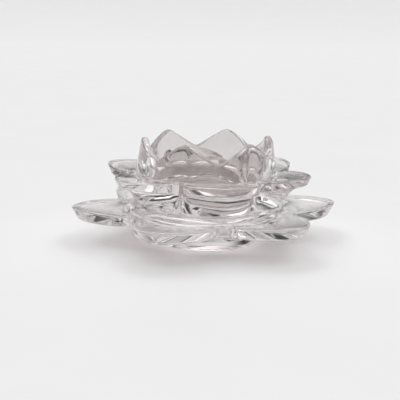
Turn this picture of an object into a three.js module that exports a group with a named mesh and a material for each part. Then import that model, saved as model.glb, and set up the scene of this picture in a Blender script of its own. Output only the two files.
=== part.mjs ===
// Clear pressed-glass lotus holder for a tea light, made as it is bonded together on a bench: a
// six-petalled dish on a round foot, a film of clear adhesive, and a six-petalled bowl whose wall
// rises into a pointed crown round the candle well. Millimetres, +Z up. The origin is the centre
// of the foot on the table, and +X runs along one petal of the dish.
import * as THREE from "three";

// Both tiers
const PETALS = 6;
const HALF_PITCH = Math.PI / PETALS; // from the middle of a petal to the notch beside it
const HALF_STEPS = 9; // facets from the middle of a petal to its notch
const CROWDING = 0.09; // how far those facets close up towards both ends
const EDGE_STEPS = 2; // facets in each rounded corner of an edge
const SLOT_HALF_ANGLE = 6.5; // degrees from the middle of a notch to its side
const PETAL_BLUNTNESS = 0.62; // 0.5 would end a petal in half an ellipse, 1 in a point
const VALLEY_ROUND = 0.08; // share of a lobe's half width that is rounded in the valley beside it

// Petal dish: the lower tier and its foot
const DISH_TIP_RADIUS = 70; // centre to the tip of a petal
const DISH_PETAL_WIDTH = 45.5; // where a petal is widest
const DISH_PETAL_TAPER = 32; // length over which it narrows to its tip
const DISH_PETAL_HEIGHT = 17.4; // table to the top of a petal where it leaves the seat
const DISH_TIP_LIFT = 1.4; // how much higher its tip is
const DISH_SEAT_RISE = 2.1; // flat that carries the bowl, above the petals
const DISH_SEAT_MARGIN = 0.8; // flat left outside the bowl's waist
const DISH_SHOULDER = 7.7; // from the seat out to the bottom of the notch between two petals
const DISH_EDGE_THICKNESS = 5.1; // in a notch, and the lift makes it thicker at a tip
const DISH_EDGE_ROUND = 1.5;
const DISH_EDGE_DRAFT = 2.8; // how far the edge slants in under a tip
const DISH_SWEEP = 3.2; // 1 would make its underside a straight cone
const FOOT_RADIUS = 27;
const FOOT_HEIGHT = 4.6;
const FOOT_DRAFT = 0.8; // how much wider the foot is where it joins the dish
const FOOT_CORNER = 0.6;
const FOOT_RING_WIDTH = 5; // ring that stands on the table
const FOOT_RECESS = 1; // hollow inside the ring

// Adhesive film
const FILM_THICKNESS = 0.25;
const FILM_INSET = 0.8; // film edge inside the edge of the waist

// Petal bowl: the upper tier
const WAIST_LOBE_RADIUS = 19; // under each petal the waist swells into a round lobe
const WAIST_LOBE_OFFSET = 20.5; // centre of the bowl to the centre of a lobe
const WAIST_CORNER = 0.9;
const BOWL_TIP_RADIUS = 55.6;
const BOWL_PETAL_WIDTH = 39.6;
const BOWL_PETAL_TAPER = 23;
const BOWL_NOTCH_RADIUS = 37;
const BOWL_PETAL_RISE = 17.7; // base of the bowl to the top of a petal tip
const BOWL_EDGE_THICKNESS = 4.8;
const BOWL_EDGE_ROUND = 1.2;
const BOWL_EDGE_DRAFT = 1.2;
const LEDGE_DROP = 2.2; // how much lower the petals are where they meet the crown
const LEDGE_FILLET = 1.2; // between the petals and the crown
const BOWL_SWEEP = 1.85; // 1 would make its underside a straight cone

// Crown and candle well, the middle of the bowl
const CROWN_HEIGHT = 18.8; // from the petals up to the points of the crown
const CROWN_VALLEY_DROP = 9.2; // points down to the valleys between them
const CROWN_LOBE_OFFSET = 12; // each crown petal is an arc round a centre this far from the axis
const CROWN_LEAN = 9; // degrees that the outside leans in
const CROWN_POINT_ROUND = 0.09; // share of a crown petal's half width that is rounded at the point
const RIM_THICKNESS = 3;
const RIM_ROUND = 1.2; // radius of its two rounded corners
const WELL_FLOOR_RADIUS = 28;
const WELL_FLOOR_THICKNESS = 7;
const WELL_CORNER = 2.2; // height of the curve that joins its floor to its wall
const WELL_DRAFT = 1.5; // degrees that its wall opens upwards

// Sizes that follow from the ones above
const WAIST_REACH = WAIST_LOBE_OFFSET + WAIST_LOBE_RADIUS;
const SEAT_RADIUS = WAIST_REACH + DISH_SEAT_MARGIN;
const DISH_NOTCH_RADIUS = SEAT_RADIUS + DISH_SHOULDER;
const FILM_BASE = DISH_PETAL_HEIGHT + DISH_SEAT_RISE;
const BOWL_BASE = FILM_BASE + FILM_THICKNESS;
const WELL_FLOOR = BOWL_BASE + WELL_FLOOR_THICKNESS;

const mix = (a, b, t) => a + (b - a) * t;
const degrees = THREE.MathUtils.degToRad;

// A share that grows evenly, but for a rounded start.
const rounded = (share, round) =>
  (Math.hypot(share, round) - round) / (Math.hypot(1, round) - round);

// A share that starts and ends gently.
const eased = (share) => share ** 2 * (3 - 2 * share);

// Angles round the whole circle, closer together at the tips and in the notches.
function columnAngles() {
  const angles = [];
  for (let petal = 0; petal < PETALS; petal++) {
    for (let k = -HALF_STEPS; k < HALF_STEPS; k++) {
      const t = k / HALF_STEPS;
      const crowded = t - CROWDING * Math.sin(2 * Math.PI * t);
      angles.push((2 * petal + crowded) * HALF_PITCH);
    }
  }
  return angles;
}

// How far an angle is from the middle of the nearest petal.
function fromPetal(angle) {
  const pitch = 2 * HALF_PITCH;
  return Math.abs(angle - pitch * Math.round(angle / pitch));
}

// Radius of a petalled outline. A petal's sides run parallel as far as its taper and then close in
// on a blunt tip, and a smooth slot parts it from the next petal.
function petalOutline({ tip, width, taper, notch }, angle) {
  const turn = fromPetal(angle);
  const halfWidth = (along) => {
    const t = THREE.MathUtils.clamp((along - (tip - taper)) / taper, 0, 1);
    return (width / 2) * (1 - t * t) ** PETAL_BLUNTNESS;
  };
  let inside = 0;
  let outside = tip;
  for (let step = 0; step < 40; step++) {
    const radius = (inside + outside) / 2;
    if (radius * Math.sin(turn) < halfWidth(radius * Math.cos(turn))) inside = radius;
    else outside = radius;
  }
  const fromSlot = Math.min(1, (HALF_PITCH - turn) / degrees(SLOT_HALF_ANGLE));
  return mix(notch, Math.max(inside, notch), eased(fromSlot));
}

// Radius of a ring of arcs: each arc has its centre at offset from the axis, and they meet in
// rounded valleys half a pitch away.
function lobedOutline(offset, arcRadius, turn) {
  const softTurn = HALF_PITCH * (1 - rounded(1 - turn / HALF_PITCH, VALLEY_ROUND));
  const across = offset * Math.sin(softTurn);
  return offset * Math.cos(softTurn) + Math.sqrt(arcRadius ** 2 - across ** 2);
}

// A closed solid from rings that run from the middle of its underside, out and over, to the middle
// of its top. Each ring gives a radius and a height for an angle.
function ringSolid(rings, bottom, top) {
  const angles = columnAngles();
  const points = [0, 0, bottom];
  for (const ring of rings) {
    for (const angle of angles) {
      const [radius, height] = ring(angle);
      points.push(radius * Math.cos(angle), radius * Math.sin(angle), height);
    }
  }
  points.push(0, 0, top);

  const columns = angles.length;
  const last = 1 + rings.length * columns;
  const faces = [];
  for (let column = 0; column < columns; column++) {
    const next = (column + 1) % columns;
    faces.push(0, 1 + next, 1 + column);
    for (let ring = 0; ring < rings.length - 1; ring++) {
      const low = 1 + ring * columns;
      const high = low + columns;
      faces.push(low + column, low + next, high + next, low + column, high + next, high + column);
    }
    faces.push(last - columns + column, last - columns + next, last);
  }
  const geometry = new THREE.BufferGeometry();
  geometry.setAttribute("position", new THREE.Float32BufferAttribute(points, 3));
  geometry.setIndex(faces);
  geometry.computeVertexNormals();
  return geometry;
}

// Shares of the way from a start to an end, without the start.
const shares = (count) => Array.from({ length: count }, (_, k) => (k + 1) / count);

// Outline of the base of the bowl, one lobe under each petal.
const waistOutline = (angle) =>
  lobedOutline(WAIST_LOBE_OFFSET, WAIST_LOBE_RADIUS, fromPetal(angle));

// A share that starts steeply and levels out, for the sweeps of a tier.
const levelled = (t, sweep) => 1 - (1 - t) ** sweep;

// Rings round the edge of a tier: out below, up, and in above. The edge slants in below.
function edgeRings(outline, bottomAt, topAt, roundAt, draftAt) {
  const rings = [];
  for (const below of [true, false]) {
    for (let step = 0; step <= EDGE_STEPS; step++) {
      const t = (step / EDGE_STEPS) * (Math.PI / 2);
      rings.push((angle) => {
        const round = roundAt(angle);
        const inset = round * (1 - (below ? Math.sin(t) : Math.cos(t)));
        return below
          ? [outline(angle) - draftAt(angle) - inset, bottomAt(angle) + round * (1 - Math.cos(t))]
          : [outline(angle) - inset, topAt(angle) - round * (1 - Math.sin(t))];
      });
    }
  }
  return rings;
}

function petalDish() {
  const petal = {
    tip: DISH_TIP_RADIUS,
    width: DISH_PETAL_WIDTH,
    taper: DISH_PETAL_TAPER,
    notch: DISH_NOTCH_RADIUS,
  };
  const outline = (angle) => petalOutline(petal, angle);
  const reach = (angle) =>
    (outline(angle) - DISH_NOTCH_RADIUS) / (DISH_TIP_RADIUS - DISH_NOTCH_RADIUS);
  const topAt = (angle) => DISH_PETAL_HEIGHT + DISH_TIP_LIFT * reach(angle);
  const bottomAt = () => DISH_PETAL_HEIGHT - DISH_EDGE_THICKNESS;
  const roundAt = () => DISH_EDGE_ROUND;
  const draftAt = (angle) => DISH_EDGE_DRAFT * reach(angle);
  const footTop = FOOT_RADIUS + FOOT_DRAFT;

  // The hollow under the foot, the ring that stands on the table and the wall of the foot
  const rings = [
    () => [FOOT_RADIUS - FOOT_RING_WIDTH, FOOT_RECESS],
    () => [FOOT_RADIUS - FOOT_RING_WIDTH + FOOT_RECESS, 0],
    () => [FOOT_RADIUS - FOOT_CORNER, 0],
    () => [FOOT_RADIUS, FOOT_CORNER],
    () => [footTop, FOOT_HEIGHT],
  ];
  for (const t of shares(5).slice(0, -1)) {
    rings.push((angle) => [
      mix(footTop, outline(angle) - draftAt(angle) - DISH_EDGE_ROUND, t),
      mix(FOOT_HEIGHT, bottomAt(), levelled(t, DISH_SWEEP)),
    ]);
  }
  rings.push(...edgeRings(outline, bottomAt, topAt, roundAt, draftAt));

  // From its lifted tip the top of a petal sinks a little and then sweeps up to the seat.
  for (const t of shares(5)) {
    rings.push((angle) => [
      mix(outline(angle) - DISH_EDGE_ROUND, SEAT_RADIUS, t),
      mix(topAt(angle), DISH_PETAL_HEIGHT, levelled(t, DISH_SWEEP)) + DISH_SEAT_RISE * t ** 4,
    ]);
  }
  return ringSolid(rings, FOOT_RECESS, FILM_BASE);
}

function bondFilm() {
  const edge = (angle) => waistOutline(angle) - FILM_INSET;
  const rings = [(angle) => [edge(angle), FILM_BASE], (angle) => [edge(angle), BOWL_BASE]];
  return ringSolid(rings, FILM_BASE, BOWL_BASE);
}

function petalBowl() {
  const petal = {
    tip: BOWL_TIP_RADIUS,
    width: BOWL_PETAL_WIDTH,
    taper: BOWL_PETAL_TAPER,
    notch: BOWL_NOTCH_RADIUS,
  };
  const outline = (angle) => petalOutline(petal, angle);
  const reach = (angle) =>
    (outline(angle) - BOWL_NOTCH_RADIUS) / (BOWL_TIP_RADIUS - BOWL_NOTCH_RADIUS);
  const ledge = BOWL_BASE + BOWL_PETAL_RISE - LEDGE_DROP;
  const topAt = (angle) => ledge + LEDGE_DROP * reach(angle);
  const bottomAt = (angle) => topAt(angle) - BOWL_EDGE_THICKNESS;
  const roundAt = (angle) => BOWL_EDGE_ROUND * Math.min(1, 3 * reach(angle)); // none in a notch
  const draftAt = (angle) => BOWL_EDGE_DRAFT * reach(angle);

  // The crown's petals stand over the bowl's notches, so its valleys are over the bowl's petals.
  const fromPoint = (angle) => HALF_PITCH - fromPetal(angle);
  const crownArc = BOWL_NOTCH_RADIUS - CROWN_LOBE_OFFSET;
  const lean = Math.tan(degrees(CROWN_LEAN));
  const crownAt = (angle, height) =>
    lobedOutline(CROWN_LOBE_OFFSET, crownArc, fromPoint(angle)) - (height - ledge) * lean;
  const rimAt = (angle) => {
    const fall = rounded(fromPoint(angle) / HALF_PITCH, CROWN_POINT_ROUND);
    const softFall = 1 - rounded(1 - fall, VALLEY_ROUND);
    return ledge + CROWN_HEIGHT - CROWN_VALLEY_DROP * softFall;
  };
  const shoulder = (angle) => rimAt(angle) - RIM_ROUND;

  const rings = [
    (angle) => [waistOutline(angle) - WAIST_CORNER, BOWL_BASE],
    (angle) => [waistOutline(angle), BOWL_BASE + WAIST_CORNER],
  ];
  for (const t of shares(6).slice(0, -1)) {
    rings.push((angle) => [
      mix(waistOutline(angle), outline(angle) - draftAt(angle) - roundAt(angle), t),
      mix(BOWL_BASE + WAIST_CORNER, bottomAt(angle), levelled(t, BOWL_SWEEP)),
    ]);
  }
  rings.push(...edgeRings(outline, bottomAt, topAt, roundAt, draftAt));

  // Over the petals to the crown, and up its outside. Over a notch these rings climb the wall.
  const footAt = (angle) => crownAt(angle, ledge + LEDGE_FILLET);
  for (const t of shares(3).slice(0, -1)) {
    rings.push((angle) => [
      mix(outline(angle) - roundAt(angle), footAt(angle) + LEDGE_FILLET * reach(angle), t),
      mix(topAt(angle), ledge + (1 - reach(angle)) * LEDGE_FILLET, t),
    ]);
  }
  rings.push((angle) => [footAt(angle), ledge + LEDGE_FILLET]);
  for (const t of shares(3)) {
    rings.push((angle) => {
      const height = mix(ledge + LEDGE_FILLET, shoulder(angle), t);
      return [crownAt(angle, height), height];
    });
  }

  // The rim is rounded on both sides, and inside it the wall runs down, a little inwards, to a
  // rounded corner and the flat floor of the well.
  const quarters = shares(EDGE_STEPS).map((share) => (share * Math.PI) / 2);
  for (const t of quarters) {
    rings.push((angle) => [
      crownAt(angle, shoulder(angle)) - RIM_ROUND * (1 - Math.cos(t)),
      shoulder(angle) + RIM_ROUND * Math.sin(t),
    ]);
  }
  const insideAt = (angle) => crownAt(angle, shoulder(angle)) - RIM_THICKNESS;
  for (const t of [0, ...quarters]) {
    rings.push((angle) => [
      insideAt(angle) + RIM_ROUND * (1 - Math.sin(t)),
      shoulder(angle) + RIM_ROUND * Math.cos(t),
    ]);
  }
  const cornerTop = WELL_FLOOR + WELL_CORNER;
  const draft = Math.tan(degrees(WELL_DRAFT));
  const wallFoot = (angle) => insideAt(angle) - (shoulder(angle) - cornerTop) * draft;
  for (const t of shares(2)) {
    rings.push((angle) => [
      mix(insideAt(angle), wallFoot(angle), t),
      mix(shoulder(angle), cornerTop, t),
    ]);
  }
  for (const t of shares(4)) {
    const turn = (t * Math.PI) / 2;
    rings.push((angle) => [
      mix(wallFoot(angle), WELL_FLOOR_RADIUS, 1 - Math.cos(turn)),
      WELL_FLOOR + WELL_CORNER * (1 - Math.sin(turn)),
    ]);
  }
  return ringSolid(rings, BOWL_BASE, WELL_FLOOR);
}

const glass = new THREE.MeshStandardMaterial({ color: 0xdad7d4, roughness: 0.03, metalness: 0 });
const adhesive = new THREE.MeshStandardMaterial({ color: 0xe4e3df, roughness: 0.1, metalness: 0 });

function named(name, geometry, material) {
  const mesh = new THREE.Mesh(geometry, material);
  mesh.name = name;
  return mesh;
}

const holder = new THREE.Group();
holder.add(named("petal_dish", petalDish(), glass));

// The bowl's petals, and the film under it, lie over the notches of the dish.
const upper = new THREE.Group();
upper.rotation.z = HALF_PITCH;
upper.add(named("bond_film", bondFilm(), adhesive), named("petal_bowl", petalBowl(), glass));
holder.add(upper);

export default holder;
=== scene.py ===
"""Clear pressed-glass lotus holder for a tea light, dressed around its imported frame.

The holder is two pressings bonded with clear adhesive: a six-petalled dish on a round foot, and a
six-petalled bowl whose wall rises into a pointed crown round the candle well. Each pressing is one
closed surface, worked out as rings of radius and height over the angle round the axis. A few
bubbles of air are caught low in the bowl's waist.
"""

import logging
import math
from collections.abc import Sequence
from dataclasses import dataclass
from enum import Enum

import bpy
import numpy as np
from mathutils import Matrix, Vector


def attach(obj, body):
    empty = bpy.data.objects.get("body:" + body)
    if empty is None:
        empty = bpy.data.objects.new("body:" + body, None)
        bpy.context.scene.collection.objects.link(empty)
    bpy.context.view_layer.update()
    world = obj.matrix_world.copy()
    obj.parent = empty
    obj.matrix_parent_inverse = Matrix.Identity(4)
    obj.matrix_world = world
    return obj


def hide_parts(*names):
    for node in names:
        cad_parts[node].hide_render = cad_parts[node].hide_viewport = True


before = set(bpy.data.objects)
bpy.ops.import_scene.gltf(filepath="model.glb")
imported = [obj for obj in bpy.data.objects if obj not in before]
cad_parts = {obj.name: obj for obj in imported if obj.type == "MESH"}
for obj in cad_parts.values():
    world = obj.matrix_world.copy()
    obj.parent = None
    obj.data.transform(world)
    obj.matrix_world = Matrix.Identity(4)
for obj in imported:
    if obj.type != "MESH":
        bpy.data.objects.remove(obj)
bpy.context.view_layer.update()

log = logging.getLogger("lotus_holder")

Rings = list[tuple[np.ndarray, np.ndarray]]  # radius and height of each

MM = 0.001  # every size below is in millimetres, and a mesh is made in metres
PETALS = 6
HALF_PITCH = math.pi / PETALS  # from the middle of a petal to the notch beside it
COLUMNS_PER_PETAL = 72
CROWDING = 0.09  # how far the columns close up towards the tips and the notches
VALLEY_ROUND = 0.08  # share of a lobe's half width that is rounded in the valley beside it
HALVINGS = 40  # of the doubt about an outline's radius
GLASS_BOUNCES = 32  # of light inside the glass, which takes it through every wall of the holder
CLEAR_BOUNCES = 64  # of light that passes a bonded face unbent
MIX_SHARE, MIX_FROM, MIX_TO, MIX_RESULT = 0, 6, 7, 2  # a colour Mix node's sockets


class Slot(Enum):
    """The record's material slots."""

    DISH = "dish_glass"
    BOWL = "bowl_glass"
    ADHESIVE = "clear_adhesive"


class Face(Enum):
    """Which of a piece's materials a band of its surface wears."""

    POLISHED = 0
    BONDED = 1


def linear(hex_colour: str) -> tuple[float, float, float, float]:
    """Turns an sRGB colour into Blender's linear one, by the sRGB curve.

    Args:
        hex_colour: Six hexadecimal digits, as in "d9d6da".

    Returns:
        Red, green and blue from 0 to 1, and an alpha of 1.
    """
    channels = [int(hex_colour[k : k + 2], 16) / 255 for k in (0, 2, 4)]
    turned = [c / 12.92 if c <= 0.04045 else ((c + 0.055) / 1.055) ** 2.4 for c in channels]
    return (*turned, 1.0)


def add(
    tree: bpy.types.NodeTree, kind: str, inputs: dict | None = None, **settings
) -> bpy.types.Node:
    """Adds a node to a tree.

    Args:
        tree: The tree that gets the node.
        kind: The node's type name.
        inputs: For a socket's name or number, a value for it or a socket to link to it.
        **settings: The node's own properties.

    Returns:
        The new node.
    """
    node = tree.nodes.new(kind)
    for name, value in settings.items():
        setattr(node, name, value)
    for key, value in (inputs or {}).items():
        if isinstance(value, bpy.types.NodeSocket):
            tree.links.new(value, node.inputs[key])
        else:
            node.inputs[key].default_value = value
    return node


def empty_material(name: str) -> tuple[bpy.types.Material, bpy.types.NodeTree]:
    """Makes a node material with no nodes in it yet.

    Args:
        name: The material's name.

    Returns:
        The material and its tree.
    """
    material = bpy.data.materials.new(name)
    material.use_nodes = True
    material.node_tree.nodes.clear()
    return material, material.node_tree


def linked(name: str, data: bpy.types.ID) -> bpy.types.Object:
    """Makes an object at the origin and links it to the scene.

    Args:
        name: The object's name.
        data: Its mesh, lamp or camera.

    Returns:
        The object.
    """
    made = bpy.data.objects.new(name, data)
    bpy.context.scene.collection.objects.link(made)
    return made


def mix(a: np.ndarray, b: np.ndarray, t: np.ndarray) -> np.ndarray:
    """The value t of the way from a to b."""
    return a + (b - a) * t


def crowded(count: int) -> np.ndarray:
    """Shares from 0 to 1, closer at both ends: half of one minus the cosine of a half turn."""
    return (1 - np.cos(np.linspace(0, math.pi, count))) / 2


def quarter_turn(count: int) -> list[tuple[float, float]]:
    """Steps round a quarter circle, each as one minus the sine and one minus the cosine."""
    return [(1 - math.sin(t), 1 - math.cos(t)) for t in np.linspace(0, math.pi / 2, count)]


def column_angles() -> np.ndarray:
    """Angles round the whole circle, closer together at the tips and in the notches."""
    t = np.arange(PETALS * COLUMNS_PER_PETAL) / COLUMNS_PER_PETAL * 2
    return (t - CROWDING * np.sin(2 * math.pi * t)) * HALF_PITCH


def from_petal(angles: np.ndarray) -> np.ndarray:
    """How far each angle is from the middle of the nearest petal."""
    pitch = 2 * HALF_PITCH
    return np.abs(angles - pitch * np.round(angles / pitch))


def rounded(share: np.ndarray, round_off: float) -> np.ndarray:
    """A share that grows evenly, but for a rounded start: a hyperbola scaled to end at 1."""
    return (np.hypot(share, round_off) - round_off) / (math.hypot(1, round_off) - round_off)


def eased(share: np.ndarray) -> np.ndarray:
    """A share that starts and ends gently: three of its squares less two of its cubes."""
    return share**2 * (3 - 2 * share)


def lobed_outline(offset: float, arc_radius: float, turn: np.ndarray) -> np.ndarray:
    """Radius of a ring of arcs, each round a centre at offset from the axis.

    It is the offset's part along the ray, plus the arc's reach past it by Pythagoras, with the
    turn rounded off where two arcs meet in a valley.

    Args:
        offset: From the axis to the centre of each arc.
        arc_radius: Radius of each arc.
        turn: Angle from the middle of the arc.

    Returns:
        The outline's radius for each angle.
    """
    soft = HALF_PITCH * (1 - rounded(1 - turn / HALF_PITCH, VALLEY_ROUND))
    return offset * np.cos(soft) + np.sqrt(arc_radius**2 - (offset * np.sin(soft)) ** 2)


@dataclass(frozen=True)
class PetalOutline:
    """Outline of a tier of petals, seen from above."""

    tip: float  # centre to the tip of a petal
    width: float  # where a petal is widest
    taper: float  # length over which it narrows to its tip
    notch: float  # centre to the bottom of the notch between two petals
    bluntness: float = 0.62  # 0.5 would end a petal in half an ellipse, 1 in a point
    slot_half_angle: float = 6.5  # degrees from the middle of a notch to its side

    def radius(self, angles: np.ndarray) -> np.ndarray:
        """Radius of the outline.

        A petal's half width is constant as far as its taper and then falls as a power of one minus
        the square of the share gone. The radius at an angle is where the ray leaves that width,
        found by halving, and a smooth slot is blended in beside each notch.

        Args:
            angles: Angles round the axis, 0 in the middle of a petal.

        Returns:
            The radius for each angle.
        """
        turn = from_petal(angles)
        inside = np.zeros_like(turn)
        outside = np.full_like(turn, self.tip)
        for _ in range(HALVINGS):
            middle = (inside + outside) / 2
            share = np.clip((middle * np.cos(turn) - self.tip + self.taper) / self.taper, 0, 1)
            half_width = self.width / 2 * (1 - share**2) ** self.bluntness
            within = middle * np.sin(turn) < half_width
            inside = np.where(within, middle, inside)
            outside = np.where(within, outside, middle)
        from_slot = np.minimum(1, (HALF_PITCH - turn) / math.radians(self.slot_half_angle))
        return mix(self.notch, np.maximum(inside, self.notch), eased(from_slot))

    def reach(self, angles: np.ndarray) -> np.ndarray:
        """0 at the bottom of a notch and 1 at the tip of a petal."""
        return (self.radius(angles) - self.notch) / (self.tip - self.notch)


@dataclass(frozen=True)
class Edge:
    """The upright edge of a tier: rounded corners below and above, and a slanted wall between."""

    round: float
    draft: float  # how far it slants in below a tip
    corner_rings: int = 7
    wall_rings: int = 3

    def rings(
        self,
        outline: np.ndarray,
        bottom: np.ndarray,
        top: np.ndarray,
        round_at: np.ndarray,
        reach: np.ndarray,
    ) -> Rings:
        """Rings round the edge, from the underside out and up to the top.

        Each corner is a quarter circle, and the lower one is set in by the draft.

        Args:
            outline: Radius of the tier's outline.
            bottom: Height of its underside.
            top: Height of its top.
            round_at: Radius of its rounded corners.
            reach: 0 in a notch and 1 at a tip.

        Returns:
            Pairs of radius and height.
        """
        foot = outline - self.draft * reach
        corner = quarter_turn(self.corner_rings)
        rings: Rings = [(foot - round_at * s, bottom + round_at * c) for s, c in corner]
        rings += span(rings[-1], (outline, top - round_at), self.wall_rings)
        rings += [(outline - round_at * c, top - round_at * s) for s, c in corner]
        return rings


def span(
    start: tuple[np.ndarray, np.ndarray],
    end: tuple[np.ndarray, np.ndarray],
    count: int,
    sweep: float = 1.0,
) -> Rings:
    """Rings between two others, which are left out.

    The radius goes evenly. The share that the height has gone is one minus what is left of the way
    to the power of the sweep, so it levels out towards the end.

    Args:
        start: Radius and height of the ring before the first.
        end: Radius and height of the ring after the last.
        count: How many rings.
        sweep: 1 for a straight line, and more to level out sooner.

    Returns:
        Pairs of radius and height.
    """
    return [
        (mix(start[0], end[0], t), mix(start[1], end[1], 1 - (1 - t) ** sweep))
        for t in crowded(count + 2)[1:-1]
    ]


def belts(rows: int, columns: int) -> np.ndarray:
    """Faces between the rings of a grid that closes on itself round the axis.

    Args:
        rows: How many rings.
        columns: How many points a ring has.

    Returns:
        The four points of each face, which looks away from the axis where the rings run upwards.
    """
    column = np.arange(columns)
    after = (column + 1) % columns
    low = np.arange(rows - 1)[:, None] * columns
    high = low + columns
    return np.stack([low + column, low + after, high + after, high + column], -1).reshape(-1, 4)


def fan(first: int, columns: int, pole: int) -> np.ndarray:
    """Faces from a ring to one point on the axis.

    Args:
        first: Number of the ring's first point.
        columns: How many points the ring has.
        pole: Number of the point on the axis.

    Returns:
        The three points of each face, which looks up where the ring runs anticlockwise.
    """
    column = np.arange(columns)
    after = (column + 1) % columns
    return np.stack([first + column, first + after, np.full(columns, pole)], -1)


def smooth_mesh(name: str, points: np.ndarray, faces: list[list[int]]) -> bpy.types.Mesh:
    """Makes a smooth-shaded mesh.

    Args:
        name: The mesh's name.
        points: Its points, in millimetres.
        faces: The numbers of each face's points.

    Returns:
        The mesh.
    """
    mesh = bpy.data.meshes.new(name)
    mesh.from_pydata((points * MM).tolist(), [], faces)
    mesh.polygons.foreach_set("use_smooth", np.ones(len(faces), bool))
    mesh.update()
    return mesh


def closed_mesh(
    name: str,
    angles: np.ndarray,
    rings: Rings,
    turned: float = 0.0,
    bonded: tuple[int, int] = (0, 0),
) -> bpy.types.Object:
    """Makes a smooth closed surface from rings.

    The rings run from the middle of the underside, out and over, to the middle of the top. A point
    is the ring's radius times the cosine and the sine of the angle, at the ring's height, and one
    point on the axis closes each end.

    Args:
        name: The piece's name.
        angles: Angles of the columns.
        rings: Radius and height of each ring.
        turned: Angle by which the piece is turned round the axis.
        bonded: The first band of faces that is bonded, and the first after it that isn't. Band 0
            closes the surface below.

    Returns:
        The new object.
    """
    columns, count = len(angles), len(rings)
    turn = angles + turned
    radius = np.array([np.broadcast_to(r, columns) for r, _ in rings])
    height = np.array([np.broadcast_to(h, columns) for _, h in rings])
    points = np.stack([radius * np.cos(turn), radius * np.sin(turn), height], -1).reshape(-1, 3)
    poles = [[0, 0, height[0].mean()], [0, 0, height[-1].mean()]]
    below = fan(0, columns, len(points))[:, ::-1]
    above = fan((count - 1) * columns, columns, len(points) + 1)
    faces = [*below.tolist(), *belts(count, columns).tolist(), *above.tolist()]
    mesh = smooth_mesh(name, np.concatenate([points, poles]), faces)
    band = np.repeat(np.arange(count + 1), columns)
    is_bonded = (band >= bonded[0]) & (band < bonded[1])
    wears = np.where(is_bonded, Face.BONDED.value, Face.POLISHED.value)
    mesh.polygons.foreach_set("material_index", wears)
    return linked(name, mesh)


@dataclass(frozen=True)
class PressedGlass:
    """Soda-lime glass pressed in an iron mould and fire-polished.

    The body is clear with a faint warm grey cast, the corners are soft, and the skin waves a little
    where the mould chilled it.
    """

    name: str = "pressed_fire_polished_soda_lime_glass"
    colour: str = "e4e0df"
    ior: float = 1.52
    wave_width: float = 9.0  # across one wave of the chilled skin
    wave_height: float = 0.02

    def material(self) -> bpy.types.Material:
        """Builds the material: one glass shader whose skin waves by a noise bump.

        Returns:
            The material.
        """
        material, tree = empty_material(self.name)
        place = add(tree, "ShaderNodeTexCoord").outputs["Object"]
        waves = add(
            tree,
            "ShaderNodeTexNoise",
            {"Vector": place, "Scale": 1 / (self.wave_width * MM), "Detail": 1.0},
        )
        bump = add(
            tree,
            "ShaderNodeBump",
            {"Height": waves.outputs["Fac"], "Strength": 1.0, "Distance": self.wave_height * MM},
        )
        glass = add(
            tree,
            "ShaderNodeBsdfPrincipled",
            {
                "Base Color": linear(self.colour),
                "Roughness": 0.0,
                "IOR": self.ior,
                "Transmission Weight": 1.0,
                "Normal": bump.outputs["Normal"],
            },
        )
        add(tree, "ShaderNodeOutputMaterial", {"Surface": glass.outputs["BSDF"]})
        return material


@dataclass(frozen=True)
class BondedGlass:
    """Glass wetted by cured adhesive of its own index.

    The face vanishes, and the eye looks straight from one pressing into the other.
    """

    name: str = "glass_face_wetted_by_adhesive"

    def material(self) -> bpy.types.Material:
        """Builds the material, which lets light through unbent.

        Returns:
            The material.
        """
        material, tree = empty_material(self.name)
        clear = add(tree, "ShaderNodeBsdfTransparent")
        add(tree, "ShaderNodeOutputMaterial", {"Surface": clear.outputs["BSDF"]})
        return material


@dataclass(frozen=True)
class ClearAdhesive:
    """Clear acrylic adhesive cured between the pressings: a glossy bare edge, a touch warm."""

    name: str = "cured_clear_acrylic_adhesive"
    colour: str = "efeeea"
    ior: float = 1.49
    roughness: float = 0.04

    def material(self) -> bpy.types.Material:
        """Builds the material.

        Returns:
            The material.
        """
        material, tree = empty_material(self.name)
        resin = add(
            tree,
            "ShaderNodeBsdfPrincipled",
            {
                "Base Color": linear(self.colour),
                "Roughness": self.roughness,
                "IOR": self.ior,
                "Transmission Weight": 1.0,
            },
        )
        add(tree, "ShaderNodeOutputMaterial", {"Surface": resin.outputs["BSDF"]})
        return material


@dataclass(frozen=True)
class AirInGlass:
    """Air in a bubble of the glass: light bends the other way there, so its rim is dark."""

    name: str = "air_in_soda_lime_glass"
    ior: float = 0.66  # that of air over that of the glass

    def material(self) -> bpy.types.Material:
        """Builds the material.

        Returns:
            The material.
        """
        material, tree = empty_material(self.name)
        air = add(tree, "ShaderNodeBsdfGlass", {"Roughness": 0.0, "IOR": self.ior})
        add(tree, "ShaderNodeOutputMaterial", {"Surface": air.outputs["BSDF"]})
        return material


@dataclass(frozen=True)
class WhiteSheet:
    """Matt white card under the holder: even and pale, with the faintest mottle."""

    name: str = "matt_white_card"
    light: str = "f8f8f9"
    dark: str = "f6f5f4"
    mottle: float = 60.0  # across one patch of it
    roughness: float = 0.9
    specular: float = 0.2

    def material(self) -> bpy.types.Material:
        """Builds the material: noise blends its two colours.

        Returns:
            The material.
        """
        material, tree = empty_material(self.name)
        place = add(tree, "ShaderNodeTexCoord").outputs["Object"]
        noise = add(
            tree,
            "ShaderNodeTexNoise",
            {"Vector": place, "Scale": 1 / (self.mottle * MM), "Detail": 3.0},
        )
        colour = add(
            tree,
            "ShaderNodeMix",
            {
                MIX_SHARE: noise.outputs["Fac"],
                MIX_FROM: linear(self.dark),
                MIX_TO: linear(self.light),
            },
            data_type="RGBA",
        )
        card = add(
            tree,
            "ShaderNodeBsdfPrincipled",
            {
                "Base Color": colour.outputs[MIX_RESULT],
                "Roughness": self.roughness,
                "Specular IOR Level": self.specular,
            },
        )
        add(tree, "ShaderNodeOutputMaterial", {"Surface": card.outputs["BSDF"]})
        return material


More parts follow.
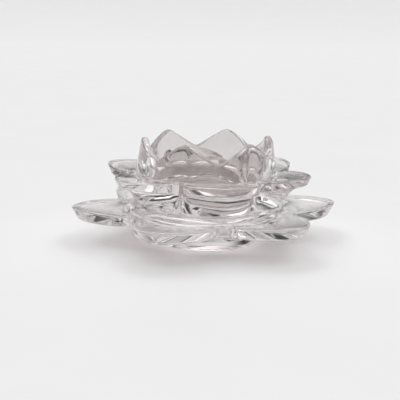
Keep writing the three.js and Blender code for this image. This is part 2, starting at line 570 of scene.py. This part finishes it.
@dataclass
class PetalDish:
    """The lower pressing: round foot, six broad petals and the raised seat for the bowl."""

    outline: PetalOutline = PetalOutline(tip=70, width=45.5, taper=32, notch=48)
    edge: Edge = Edge(round=0.8, draft=2.8)
    edge_thickness: float = 5.1  # in a notch, and the lift makes it thicker at a tip
    petal_height: float = 17.4  # table to the top of a petal where it leaves the seat
    tip_lift: float = 1.4
    seat_rise: float = 2.1  # from there to the seat
    seat_curve: float = 8  # 1 would make the rise to the seat straight
    seat_radius: float = 40.3
    foot_radius: float = 27
    foot_height: float = 4.6
    foot_draft: float = 0.8  # how far its wall slants out
    foot_corner: float = 0.6
    foot_ring: float = 5  # from the hollow's rim to the outside of the foot
    foot_recess: float = 1  # depth of the hollow under the foot
    sweep: float = 3.2  # 1 would make its underside a straight cone
    foot_rings: int = 3
    foot_corner_rings: int = 5
    foot_wall_rings: int = 4
    petal_rings: int = 22  # on each side of the petals

    @property
    def seat_height(self) -> float:
        """Height of the flat that carries the bowl."""
        return self.petal_height + self.seat_rise

    def build(self, film: float) -> bpy.types.Object:
        """Makes the dish.

        Its rings run over the hollow, the standing ring and the wall of the foot, then along an
        underside that levels out towards the petals, round the edge, and back over a top that
        rises late to the seat, as a power of the share of the way gone.

        Args:
            film: Radius of the pool of adhesive, inside which the seat is bonded.

        Returns:
            The piece.
        """
        angles = column_angles()
        outline, reach = self.outline.radius(angles), self.outline.reach(angles)
        top = self.petal_height + self.tip_lift * reach
        round_at = np.full_like(angles, self.edge.round)
        flat = np.zeros_like(angles)

        hollow = (flat + self.foot_radius - self.foot_ring, flat + self.foot_recess)
        ring_in = (hollow[0] + self.foot_recess, flat)
        corner = (flat + self.foot_radius - self.foot_corner, flat)
        foot_top = (flat + self.foot_radius + self.foot_draft, flat + self.foot_height)
        rings: Rings = [(hollow[0] * t, hollow[1]) for t in (0.3, 0.6, 0.9, 0.98)]
        rings += [hollow, *span(hollow, ring_in, self.foot_rings), ring_in]
        rings += span(ring_in, corner, self.foot_rings)
        rings += [
            (flat + self.foot_radius - self.foot_corner * s, flat + self.foot_corner * c)
            for s, c in quarter_turn(self.foot_corner_rings)
        ]
        rings += [*span(rings[-1], foot_top, self.foot_wall_rings), foot_top]

        bottom = flat + self.petal_height - self.edge_thickness
        edge = self.edge.rings(outline, bottom, top, round_at, reach)
        rings += span(foot_top, edge[0], self.petal_rings, self.sweep)
        rings += edge

        seat = (flat + self.seat_radius, flat + self.petal_height)
        for radius, height in span(edge[-1], seat, self.petal_rings, self.sweep):
            share = (edge[-1][0] - radius) / (edge[-1][0] - seat[0])
            rings.append((radius, height + self.seat_rise * share**self.seat_curve))
        rings.append((seat[0], flat + self.seat_height))
        rings += [(mix(seat[0], film, t), flat + self.seat_height) for t in (0.05, 0.5, 1)]
        first_bonded = len(rings)
        rings += [(flat + film * t, flat + self.seat_height) for t in (0.95, 0.7, 0.35)]
        bonded = (first_bonded, len(rings) + 1)
        return closed_mesh("petal_dish_glass", angles, rings, bonded=bonded)


@dataclass
class PetalBowl:
    """The upper pressing: lobed waist, six flared petals, pointed crown and candle well."""

    base: float = 19.75  # height of its underside
    outline: PetalOutline = PetalOutline(tip=55.6, width=39.6, taper=23, notch=37)
    edge: Edge = Edge(round=0.8, draft=1.6)
    edge_thickness: float = 4.8
    edge_sharpening: float = 3  # the edge is fully rounded from a third of the way to a tip
    waist_lobe_radius: float = 19
    waist_lobe_offset: float = 20.5  # from the axis to the centre of a lobe
    waist_corner: float = 0.9
    petal_rise: float = 17.7  # underside to the top of a tip
    ledge_drop: float = 2.2  # from there to where the petals meet the crown
    ledge_fillet: float = 1.2
    sweep: float = 1.85  # 1 would make the petals' underside straight
    crown_height: float = 18.8  # of its points above the ledge
    valley_drop: float = 9.2  # from a point to a valley
    crown_lobe_offset: float = 12  # from the axis to the centre of a lobe
    crown_lean: float = 6  # degrees, at its foot
    point_lean: float = 13  # and at its points
    point_round: float = 0.09  # share of the way to a valley that is rounded at a point
    rim_thickness: float = 3.6
    rim_round: float = 1.45
    well_floor_thickness: float = 7
    well_floor_radius: float = 25
    well_corner: float = 2.2
    well_draft: float = 7  # degrees that the inside of the crown opens upwards
    waist_corner_rings: int = 6
    flare_rings: int = 24  # on the underside of the petals
    petal_rings: int = 10  # on their top
    fillet_rings: int = 6
    crown_rings: int = 14  # on each side of the crown
    rim_rings: int = 7  # on each side of the rim
    well_corner_rings: int = 14

    @property
    def ledge(self) -> float:
        """Height of the petals where they meet the crown."""
        return self.base + self.petal_rise - self.ledge_drop

    def waist(self, angles: np.ndarray) -> np.ndarray:
        """Radius of the base, one lobe under each petal."""
        return lobed_outline(self.waist_lobe_offset, self.waist_lobe_radius, from_petal(angles))

    def crown(self, angles: np.ndarray, height: np.ndarray) -> np.ndarray:
        """Radius of the outside of the crown: lobes over the notches, curving in as they rise.

        The lobes lose the rise times its slope, and the slope grows evenly with the rise.

        Args:
            angles: Angles round the axis.
            height: Height above the table for each angle.

        Returns:
            The radius for each angle.
        """
        arc = self.outline.notch - self.crown_lobe_offset
        slope = math.tan(math.radians(self.crown_lean))
        bend = (math.tan(math.radians(self.point_lean)) - slope) / (2 * self.crown_height)
        lobes = lobed_outline(self.crown_lobe_offset, arc, HALF_PITCH - from_petal(angles))
        rise = height - self.ledge
        return lobes - rise * (slope + bend * rise)

    def rim(self, angles: np.ndarray) -> np.ndarray:
        """Height of the rim: straight between slightly rounded points and valleys.

        Args:
            angles: Angles round the axis.

        Returns:
            The height for each angle.
        """
        fall = rounded((HALF_PITCH - from_petal(angles)) / HALF_PITCH, self.point_round)
        soft_fall = 1 - rounded(1 - fall, VALLEY_ROUND)
        return self.ledge + self.crown_height - self.valley_drop * soft_fall

    def build(self, film: float) -> bpy.types.Object:
        """Makes the bowl, turned so that its petals lie over the notches of the dish.

        Its rings run over the bonded base and round the lobed waist, along an underside that
        levels out towards the petals, round the edge and back over their top, then up the crown's
        outside, over its rim, down the well's wall and in over its floor.

        Args:
            film: Radius of the pool of adhesive, inside which the base is bonded.

        Returns:
            The piece.
        """
        angles = column_angles()
        outline, reach = self.outline.radius(angles), self.outline.reach(angles)
        top = self.ledge + self.ledge_drop * reach
        round_at = self.edge.round * np.minimum(1, self.edge_sharpening * reach)
        flat = np.zeros_like(angles)

        waist = self.waist(angles)
        rings: Rings = [(flat + film * t, flat + self.base) for t in (0.35, 0.7, 1)]
        bonded = (0, len(rings))
        rings += [(mix(film, waist - self.waist_corner, t), flat + self.base) for t in (0.5, 0.97)]
        rings += [
            (waist - self.waist_corner * s, flat + self.base + self.waist_corner * c)
            for s, c in quarter_turn(self.waist_corner_rings)
        ]
        edge = self.edge.rings(outline, top - self.edge_thickness, top, round_at, reach)
        rings += span(rings[-1], edge[0], self.flare_rings, self.sweep)
        rings += edge

        fillet = self.ledge_fillet * reach
        foot_height = flat + self.ledge + self.ledge_fillet
        foot = (self.crown(angles, foot_height), foot_height)
        low = (foot[0] + fillet, self.ledge + (1 - reach) * self.ledge_fillet)
        rings += span(edge[-1], low, self.petal_rings)
        rings += [
            (foot[0] + fillet * s, mix(low[1], foot_height, c))
            for s, c in quarter_turn(self.fillet_rings)
        ]

        shoulder = self.rim(angles) - self.rim_round
        outer = self.crown(angles, shoulder)
        inner = outer - self.rim_thickness
        over = quarter_turn(self.rim_rings)
        rings += span(foot, (outer, shoulder), self.crown_rings)
        rings += [
            (outer - self.rim_round * c, shoulder + self.rim_round * (1 - s)) for s, c in over
        ]
        rings += [
            (inner + self.rim_round * s, shoulder + self.rim_round * (1 - c)) for s, c in over
        ]

        floor = self.base + self.well_floor_thickness
        corner_top = floor + self.well_corner
        draft = math.tan(math.radians(self.well_draft))
        wall_foot = (inner - (shoulder - corner_top) * draft, flat + corner_top)
        rings += span((inner, shoulder), wall_foot, self.crown_rings)
        rings += [
            (mix(wall_foot[0], self.well_floor_radius, c), flat + floor + self.well_corner * s)
            for s, c in quarter_turn(self.well_corner_rings)
        ]
        rings += [(flat + self.well_floor_radius * t, flat + floor) for t in (0.97, 0.7, 0.35)]
        return closed_mesh("petal_bowl_glass", angles, rings, HALF_PITCH, bonded)


@dataclass
class BondFilm:
    """The cured adhesive between the seat of the dish and the base of the bowl.

    It is a round pool that was pressed flat, and leaves a hairline of air round it out to the edge
    of the joint.
    """

    radius: float = 27

    def build(self, low: float, high: float) -> bpy.types.Object:
        """Makes the film, whose two faces are bonded and whose thin edge is bare.

        Args:
            low: Height of the seat under it.
            high: Height of the bowl's base over it.

        Returns:
            The piece.
        """
        angles = column_angles()
        flat = np.zeros_like(angles)
        rings: Rings = [(flat + self.radius, flat + height) for height in (low, high)]
        piece = closed_mesh("bond_film_resin", angles, rings)
        wears = np.repeat([Face.BONDED.value, Face.POLISHED.value, Face.BONDED.value], len(angles))
        piece.data.polygons.foreach_set("material_index", wears)
        return piece


@dataclass(frozen=True)
class Cluster:
    """Bubbles caught round one place in the waist of the bowl."""

    bearing: float  # degrees round the axis
    spread: float  # degrees to either side of it
    rise: float  # from the lowest to the highest
    count: int


@dataclass
class TrappedBubbles:
    """Air caught low in the waist of the bowl, seen in the photograph as specks in two places."""

    clearance: float = 0.95  # from the joint to the middle of the lowest bubble
    clusters: tuple[Cluster, ...] = (
        Cluster(bearing=-133, spread=6, rise=4.5, count=16),
        Cluster(bearing=-86, spread=4, rise=1.5, count=7),
    )
    diameter: tuple[float, float] = (0.7, 1.7)
    depth: tuple[float, float] = (1.2, 2.6)  # of a bubble's middle under the skin
    flatness: float = 0.7  # height of a bubble as a share of its width
    seed: int = 6
    columns: int = 14
    rows: int = 7

    def middles_and_widths(self, bowl: PetalBowl) -> tuple[np.ndarray, np.ndarray]:
        """Draws where the bubbles are and how wide they are.

        Args:
            bowl: The pressing that holds them.

        Returns:
            The middle of each bubble, and its width.
        """
        chance = np.random.default_rng(self.seed)
        bearing = np.concatenate(
            [c.bearing + chance.uniform(-c.spread, c.spread, c.count) for c in self.clusters]
        )
        rise = np.concatenate([chance.uniform(0, c.rise, c.count) for c in self.clusters])
        turn = np.radians(bearing)
        width = chance.uniform(*self.diameter, len(turn))
        out = bowl.waist(turn - HALF_PITCH) - chance.uniform(*self.depth, len(turn))
        height = bowl.base + self.clearance + rise
        return np.stack([out * np.cos(turn), out * np.sin(turn), height], -1), width

    def build(self, bowl: PetalBowl) -> bpy.types.Object:
        """Makes the bubbles as one piece of closed, slightly flattened balls.

        A ball's point is its middle plus half its width times the sine of the latitude's angle
        along the bearing of the column, and half its height times the cosine of that angle.

        Args:
            bowl: The pressing that holds them.

        Returns:
            The piece.
        """
        middle, width = self.middles_and_widths(bowl)
        around = np.arange(self.columns) / self.columns * 2 * math.pi
        down = np.arange(1, self.rows + 1)[:, None] / (self.rows + 1) * math.pi
        axes = np.broadcast_arrays(
            np.sin(down) * np.cos(around),
            np.sin(down) * np.sin(around),
            np.cos(down) * self.flatness,
        )
        belt = np.stack(axes, -1).reshape(-1, 3)
        ball = np.concatenate([belt, [[0, 0, self.flatness], [0, 0, -self.flatness]]])
        points = middle[:, None] + ball * width[:, None, None] / 2

        sides = belts(self.rows, self.columns)[:, ::-1]
        top = fan(0, self.columns, len(belt))
        bottom = fan(len(belt) - self.columns, self.columns, len(belt) + 1)[:, ::-1]
        first = np.arange(len(width))[:, None, None] * len(ball)
        faces = [
            *(first + sides).reshape(-1, 4).tolist(),
            *(first + np.concatenate([top, bottom])).reshape(-1, 3).tolist(),
        ]
        mesh = smooth_mesh("trapped_bubbles", points.reshape(-1, 3), faces)
        mesh.materials.append(AirInGlass().material())
        return linked("trapped_bubbles", mesh)


@dataclass
class Studio:
    """The table, the light and the camera.

    Each sheet of the room has a colour, and an edge: where it starts to show, and where it covers
    all that is behind it.
    """

    camera_distance: float = 486.2
    camera_elevation: float = 12.08  # degrees
    camera_turn: float = 10.32  # degrees that the view is turned round the holder
    camera_roll: float = 0.94  # degrees
    aim_across: float = -3.18
    aim_height: float = 20.36
    lens_pixels: float = 925.6  # focal length in pixels of the 400-pixel frame
    frame_pixels: float = 400
    sensor: float = 36
    clip: tuple[float, float] = (0.01, 50)  # metres
    card_flat: float = 2200  # from the holder to where the card starts to curl up
    card_reach: float = 3600  # and to its rim
    card_rise: float = 330  # of its rim, which hides the far end of the room from the camera
    card_columns: int = 96
    card_rings: int = 13
    floor_drop: float = 0.05  # keeps the foot's ring just clear of the table
    lamp_strength: float = 1.5
    lamp_angle: float = 90  # degrees across its disc, for shadows without an outline
    lamp_tilt: float = 15  # degrees that it hangs behind the holder, from straight overhead
    walls: str = "303030"  # beside and behind the camera
    backdrop: str = "f2f2f4"  # pale paper behind the holder
    backdrop_edge: tuple[float, float] = (0.8, 0.95)  # cosine of the angle from straight behind
    horizon: str = "484848"  # the far end of the room, under the paper
    horizon_edge: tuple[float, float] = (0.25, 0.1)  # sine of the angle above the horizon
    ceiling: str = "f4f4f6"
    ceiling_edge: tuple[float, float] = (0.6, 0.85)  # sine of the angle above the horizon

    def camera(self) -> bpy.types.Object:
        """Places the camera: it looks along its forward axis at the aim, and the roll turns it.

        Returns:
            The camera.
        """
        turn, tilt, roll = (
            math.radians(a) for a in (self.camera_turn, self.camera_elevation, self.camera_roll)
        )
        forward = Vector(
            (math.sin(turn) * math.cos(tilt), math.cos(turn) * math.cos(tilt), -math.sin(tilt))
        )
        level = Vector((math.cos(turn), -math.sin(turn), 0))
        upright = level.cross(forward)
        right = math.cos(roll) * level + math.sin(roll) * upright
        up = math.cos(roll) * upright - math.sin(roll) * level
        aim = level * self.aim_across + Vector((0, 0, self.aim_height))
        place = (aim - forward * self.camera_distance) * MM
        data = bpy.data.cameras.new("camera")
        data.sensor_width = self.sensor
        data.lens = self.lens_pixels / self.frame_pixels * self.sensor
        data.clip_start, data.clip_end = self.clip
        camera = linked("camera", data)
        rotation = Matrix((right, up, -forward)).transposed()
        camera.matrix_world = Matrix.Translation(place) @ rotation.to_4x4()
        bpy.context.scene.camera = camera
        return camera

    def table(self) -> bpy.types.Object:
        """Lays the white card: a round sheet, flat under the holder, whose rim curls up far off.

        Its height rises with the square of the share of the way from the flat to the rim.

        Returns:
            The card.
        """
        share = np.linspace(0, 1, self.card_rings)[:, None]
        radius = mix(self.card_flat, self.card_reach, share)
        height = self.card_rise * share**2 - self.floor_drop
        around = np.arange(self.card_columns) / self.card_columns * 2 * math.pi
        axes = np.broadcast_arrays(radius * np.cos(around), radius * np.sin(around), height)
        curl = belts(self.card_rings, self.card_columns)[:, ::-1]
        faces = [list(range(self.card_columns)), *curl.tolist()]
        mesh = smooth_mesh("table", np.stack(axes, -1).reshape(-1, 3), faces)
        mesh.polygons[0].use_smooth = False
        mesh.materials.append(WhiteSheet().material())
        card = linked("table", mesh)
        return card

    def lamp(self) -> bpy.types.Object:
        """Hangs a broad soft lamp overhead.

        Returns:
            The lamp.
        """
        data = bpy.data.lights.new("overhead", "SUN")
        data.energy = self.lamp_strength
        data.angle = math.radians(self.lamp_angle)
        lamp = linked("overhead", data)
        lamp.rotation_euler = (-math.radians(self.lamp_tilt), 0, -math.radians(self.camera_turn))
        return lamp

    def room(self) -> None:
        """Sets the room round the table, which the glass shows and which lights it from afar.

        Dark walls are covered by the paper behind the holder, then by the far end of the room low
        down, then by the ceiling overhead.
        """
        world = bpy.data.worlds.new("room")
        bpy.context.scene.world = world
        world.use_nodes = True
        tree = world.node_tree
        tree.nodes.clear()
        turn = math.radians(self.camera_turn)
        place = add(tree, "ShaderNodeTexCoord").outputs["Generated"]
        above = add(tree, "ShaderNodeSeparateXYZ", {"Vector": place}).outputs["Z"]
        behind = add(
            tree,
            "ShaderNodeVectorMath",
            {0: place, 1: (math.sin(turn), math.cos(turn), 0)},
            operation="DOT_PRODUCT",
        ).outputs["Value"]
        colour = linear(self.walls)
        for direction, edge, sheet in (
            (behind, self.backdrop_edge, self.backdrop),
            (above, self.horizon_edge, self.horizon),
            (above, self.ceiling_edge, self.ceiling),
        ):
            share = add(
                tree,
                "ShaderNodeMapRange",
                {"Value": direction, "From Min": edge[0], "From Max": edge[1]},
                interpolation_type="SMOOTHSTEP",
            ).outputs["Result"]
            blend = {MIX_SHARE: share, MIX_FROM: colour, MIX_TO: linear(sheet)}
            colour = add(tree, "ShaderNodeMix", blend, data_type="RGBA").outputs[MIX_RESULT]
        glow = add(tree, "ShaderNodeBackground", {"Color": colour, "Strength": 1.0})
        add(tree, "ShaderNodeOutputWorld", {"Surface": glow.outputs["Background"]})


def set_up_render() -> None:
    """Sets what belongs to the scene: the view transform, and how far light goes in glass."""
    scene = bpy.context.scene
    scene.view_settings.view_transform = "Standard"
    scene.cycles.max_bounces = GLASS_BOUNCES
    scene.cycles.glossy_bounces = GLASS_BOUNCES
    scene.cycles.transmission_bounces = GLASS_BOUNCES
    scene.cycles.transparent_max_bounces = CLEAR_BOUNCES
    scene.cycles.blur_glossy = 0.0  # a blur would keep light that passes the glass off the table


def dress(
    piece: bpy.types.Object, node: str, finishes: Sequence[bpy.types.Material]
) -> None:
    """Gives a piece its materials and its place in the frame.

    Args:
        piece: The piece.
        node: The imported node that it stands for.
        finishes: Its finishes, in the order of Face.
    """
    for finish in finishes:
        piece.data.materials.append(finish)
    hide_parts(node)
    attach(piece, "root")
    log.info("%s: %d faces for %s", piece.name, len(piece.data.polygons), node)


def main() -> None:
    """Builds the holder and the studio."""
    logging.basicConfig(level=logging.INFO, format="%(name)s %(message)s")
    set_up_render()
    glass, bonded = PressedGlass().material(), BondedGlass().material()
    dish, film, bowl = PetalDish(), BondFilm(), PetalBowl()
    dress(dish.build(film.radius), "petal_dish", [glass, bonded])
    pool = film.build(dish.seat_height, bowl.base)
    dress(pool, "bond_film", [ClearAdhesive().material(), bonded])
    dress(bowl.build(film.radius), "petal_bowl", [glass, bonded])
    bubbles = TrappedBubbles().build(bowl)
    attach(bubbles, "root")
    log.info("%s: %d faces", bubbles.name, len(bubbles.data.polygons))

    studio = Studio()
    studio.camera()
    studio.table()
    studio.lamp()
    studio.room()


if __name__ == "__main__":
    main()
